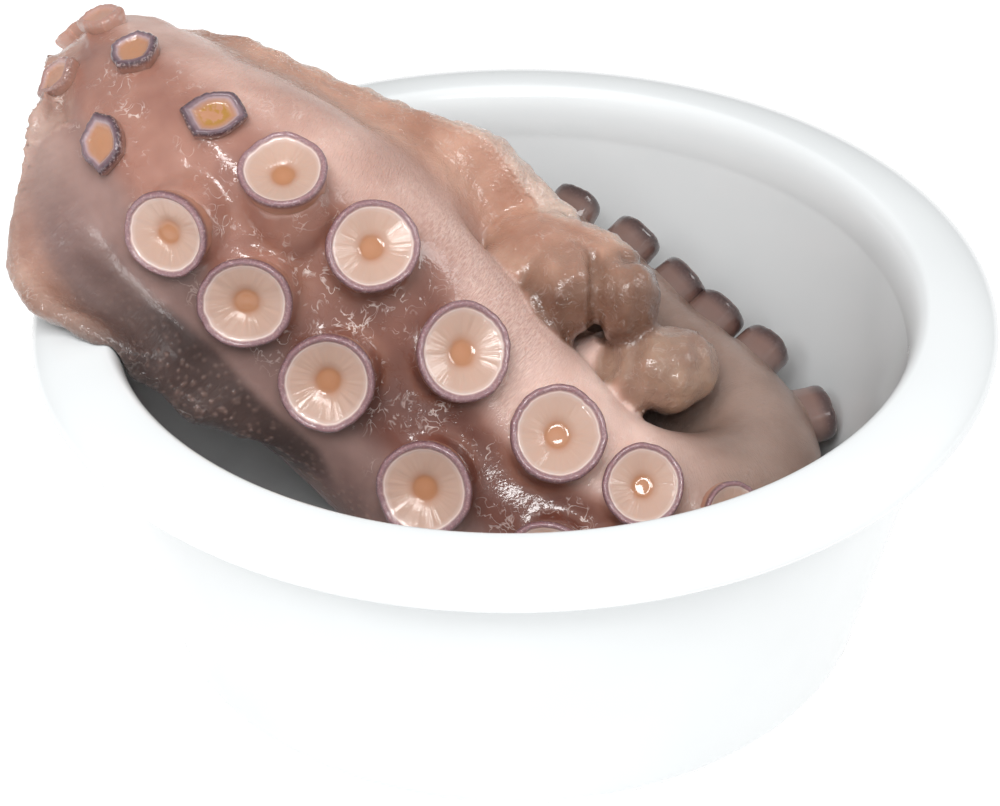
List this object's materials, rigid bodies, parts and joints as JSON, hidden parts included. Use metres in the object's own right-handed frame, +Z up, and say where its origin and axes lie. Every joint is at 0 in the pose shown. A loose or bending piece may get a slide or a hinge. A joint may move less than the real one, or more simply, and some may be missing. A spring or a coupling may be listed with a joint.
{
  "type": "cooked octopus",
  "caption": "Cooked octopus arm with rows of suckers and folds of web, curled in a small white bowl with a wide rounded rim.",
  "frame": {"origin": "centre of the bowl's flat underside", "axes": "+Z up out of the bowl, -Y towards the side that the suckers face, +X to the right seen from there; the thick cut end of the arm hangs over the rim at -X +Y"},
  "size_m": [0.1231, 0.12, 0.0748],
  "materials": {
    "bowl": "smooth white glaze",
    "octopus": "wet cooked skin, pinkish brown, with cream suckers"
  },
  "bodies": {
    "root": {"bowl": "bowl", "octopus_arm": "octopus"}
  },
  "joints": []
}
